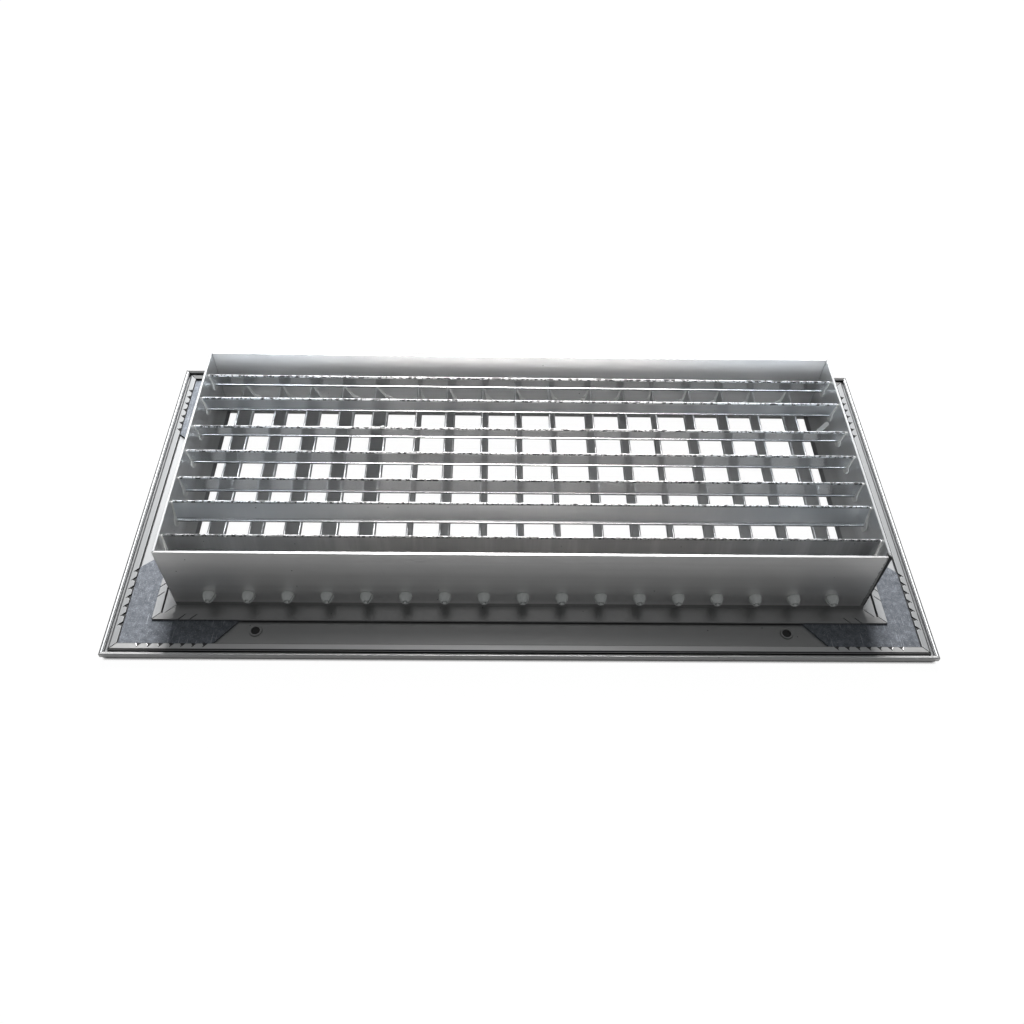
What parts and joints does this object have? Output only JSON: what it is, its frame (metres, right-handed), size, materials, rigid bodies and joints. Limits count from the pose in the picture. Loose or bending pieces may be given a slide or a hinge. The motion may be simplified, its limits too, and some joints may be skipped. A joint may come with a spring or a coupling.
{
  "type": "double deflection supply grille",
  "caption": "Rectangular supply air grille lying face down: mitred aluminium frame with a hooked flange and a neck, and two crossed rows of pivoted blades in nylon end bushes.",
  "frame": {"origin": "centre of the face, on the plane that the face lies on", "axes": "+X along the long side to the right, +Y across it towards the back of the picture, +Z from the face up the neck to the duct side"},
  "size_m": [0.421, 0.205, 0.0485],
  "materials": {
    "frame_aluminium": "mill finish extrusion, smooth and satin",
    "key_aluminium": "mottled blue-grey plate, staked in the frame",
    "blade_aluminium": "mill finish extrusion with burred ends",
    "bush_nylon": "natural white nylon, translucent"
  },
  "bodies": {
    "frame": {"frame_front": "frame_aluminium", "frame_back": "frame_aluminium", "frame_left": "frame_aluminium", "frame_right": "frame_aluminium", "key_front_left": "key_aluminium", "key_front_right": "key_aluminium", "key_back_left": "key_aluminium", "key_back_right": "key_aluminium"},
    "front_vane_01": {"front_blade_01": "blade_aluminium", "front_bushes_01": "bush_nylon"},
    "front_vane_02": {"front_blade_02": "blade_aluminium", "front_bushes_02": "bush_nylon"},
    "front_vane_03": {"front_blade_03": "blade_aluminium", "front_bushes_03": "bush_nylon"},
    "front_vane_04": {"front_blade_04": "blade_aluminium", "front_bushes_04": "bush_nylon"},
    "front_vane_05": {"front_blade_05": "blade_aluminium", "front_bushes_05": "bush_nylon"},
    "front_vane_06": {"front_blade_06": "blade_aluminium", "front_bushes_06": "bush_nylon"},
    "front_vane_07": {"front_blade_07": "blade_aluminium", "front_bushes_07": "bush_nylon"},
    "front_vane_08": {"front_blade_08": "blade_aluminium", "front_bushes_08": "bush_nylon"},
    "front_vane_09": {"front_blade_09": "blade_aluminium", "front_bushes_09": "bush_nylon"},
    "front_vane_10": {"front_blade_10": "blade_aluminium", "front_bushes_10": "bush_nylon"},
    "front_vane_11": {"front_blade_11": "blade_aluminium", "front_bushes_11": "bush_nylon"},
    "front_vane_12": {"front_blade_12": "blade_aluminium", "front_bushes_12": "bush_nylon"},
    "front_vane_13": {"front_blade_13": "blade_aluminium", "front_bushes_13": "bush_nylon"},
    "front_vane_14": {"front_blade_14": "blade_aluminium", "front_bushes_14": "bush_nylon"},
    "front_vane_15": {"front_blade_15": "blade_aluminium", "front_bushes_15": "bush_nylon"},
    "front_vane_16": {"front_blade_16": "blade_aluminium", "front_bushes_16": "bush_nylon"},
    "front_vane_17": {"front_blade_17": "blade_aluminium", "front_bushes_17": "bush_nylon"},
    "rear_vane_1": {"rear_blade_1": "blade_aluminium", "rear_bushes_1": "bush_nylon"},
    "rear_vane_2": {"rear_blade_2": "blade_aluminium", "rear_bushes_2": "bush_nylon"},
    "rear_vane_3": {"rear_blade_3": "blade_aluminium", "rear_bushes_3": "bush_nylon"},
    "rear_vane_4": {"rear_blade_4": "blade_aluminium", "rear_bushes_4": "bush_nylon"},
    "rear_vane_5": {"rear_blade_5": "blade_aluminium", "rear_bushes_5": "bush_nylon"},
    "rear_vane_6": {"rear_blade_6": "blade_aluminium", "rear_bushes_6": "bush_nylon"},
    "rear_vane_7": {"rear_blade_7": "blade_aluminium", "rear_bushes_7": "bush_nylon"}
  },
  "joints": [
    {"name": "front_vane_01_pivot", "type": "hinge", "parent": "frame", "child": "front_vane_01", "pos_m": [-0.16, 0, 0.013], "axis": [0, 1, 0], "range_deg": [-25, 65]},
    {"name": "front_vane_02_pivot", "type": "hinge", "parent": "frame", "child": "front_vane_02", "pos_m": [-0.14, 0, 0.013], "axis": [0, 1, 0], "range_deg": [-32, 58]},
    {"name": "front_vane_03_pivot", "type": "hinge", "parent": "frame", "child": "front_vane_03", "pos_m": [-0.12, 0, 0.013], "axis": [0, 1, 0], "range_deg": [-22, 68]},
    {"name": "front_vane_04_pivot", "type": "hinge", "parent": "frame", "child": "front_vane_04", "pos_m": [-0.1, 0, 0.013], "axis": [0, 1, 0], "range_deg": [-17, 73]},
    {"name": "front_vane_05_pivot", "type": "hinge", "parent": "frame", "child": "front_vane_05", "pos_m": [-0.08, 0, 0.013], "axis": [0, 1, 0], "range_deg": [-14, 76]},
    {"name": "front_vane_06_pivot", "type": "hinge", "parent": "frame", "child": "front_vane_06", "pos_m": [-0.06, 0, 0.013], "axis": [0, 1, 0], "range_deg": [-42, 48]},
    {"name": "front_vane_07_pivot", "type": "hinge", "parent": "frame", "child": "front_vane_07", "pos_m": [-0.04, 0, 0.013], "axis": [0, 1, 0], "range_deg": [-28, 62]},
    {"name": "front_vane_08_pivot", "type": "hinge", "parent": "frame", "child": "front_vane_08", "pos_m": [-0.02, 0, 0.013], "axis": [0, 1, 0], "range_deg": [-33, 57]},
    {"name": "front_vane_09_pivot", "type": "hinge", "parent": "frame", "child": "front_vane_09", "pos_m": [0, 0, 0.013], "axis": [0, 1, 0], "range_deg": [-31, 59]},
    {"name": "front_vane_10_pivot", "type": "hinge", "parent": "frame", "child": "front_vane_10", "pos_m": [0.02, 0, 0.013], "axis": [0, 1, 0], "range_deg": [-30, 60]},
    {"name": "front_vane_11_pivot", "type": "hinge", "parent": "frame", "child": "front_vane_11", "pos_m": [0.04, 0, 0.013], "axis": [0, 1, 0], "range_deg": [-55, 35]},
    {"name": "front_vane_12_pivot", "type": "hinge", "parent": "frame", "child": "front_vane_12", "pos_m": [0.06, 0, 0.013], "axis": [0, 1, 0], "range_deg": [-53, 37]},
    {"name": "front_vane_13_pivot", "type": "hinge", "parent": "frame", "child": "front_vane_13", "pos_m": [0.08, 0, 0.013], "axis": [0, 1, 0], "range_deg": [-42, 48]},
    {"name": "front_vane_14_pivot", "type": "hinge", "parent": "frame", "child": "front_vane_14", "pos_m": [0.1, 0, 0.013], "axis": [0, 1, 0], "range_deg": [-51, 39]},
    {"name": "front_vane_15_pivot", "type": "hinge", "parent": "frame", "child": "front_vane_15", "pos_m": [0.12, 0, 0.013], "axis": [0, 1, 0], "range_deg": [-49, 41]},
    {"name": "front_vane_16_pivot", "type": "hinge", "parent": "frame", "child": "front_vane_16", "pos_m": [0.14, 0, 0.013], "axis": [0, 1, 0], "range_deg": [-43, 47]},
    {"name": "front_vane_17_pivot", "type": "hinge", "parent": "frame", "child": "front_vane_17", "pos_m": [0.16, 0, 0.013], "axis": [0, 1, 0], "range_deg": [-53, 37]},
    {"name": "rear_vane_1_pivot", "type": "hinge", "parent": "frame", "child": "rear_vane_1", "pos_m": [0, 0.06, 0.0345], "axis": [-1, 0, 0], "range_deg": [-21, 69]},
    {"name": "rear_vane_2_pivot", "type": "hinge", "parent": "frame", "child": "rear_vane_2", "pos_m": [0, 0.04, 0.0345], "axis": [-1, 0, 0], "range_deg": [-28, 62]},
    {"name": "rear_vane_3_pivot", "type": "hinge", "parent": "frame", "child": "rear_vane_3", "pos_m": [0, 0.02, 0.0345], "axis": [-1, 0, 0], "range_deg": [-22, 68]},
    {"name": "rear_vane_4_pivot", "type": "hinge", "parent": "frame", "child": "rear_vane_4", "pos_m": [0, 0, 0.0345], "axis": [-1, 0, 0], "range_deg": [-30, 60]},
    {"name": "rear_vane_5_pivot", "type": "hinge", "parent": "frame", "child": "rear_vane_5", "pos_m": [0, -0.02, 0.0345], "axis": [-1, 0, 0], "range_deg": [-35, 55]},
    {"name": "rear_vane_6_pivot", "type": "hinge", "parent": "frame", "child": "rear_vane_6", "pos_m": [0, -0.04, 0.0345], "axis": [-1, 0, 0], "range_deg": [-56, 34]},
    {"name": "rear_vane_7_pivot", "type": "hinge", "parent": "frame", "child": "rear_vane_7", "pos_m": [0, -0.06, 0.0345], "axis": [-1, 0, 0], "range_deg": [-49, 41]}
  ]
}
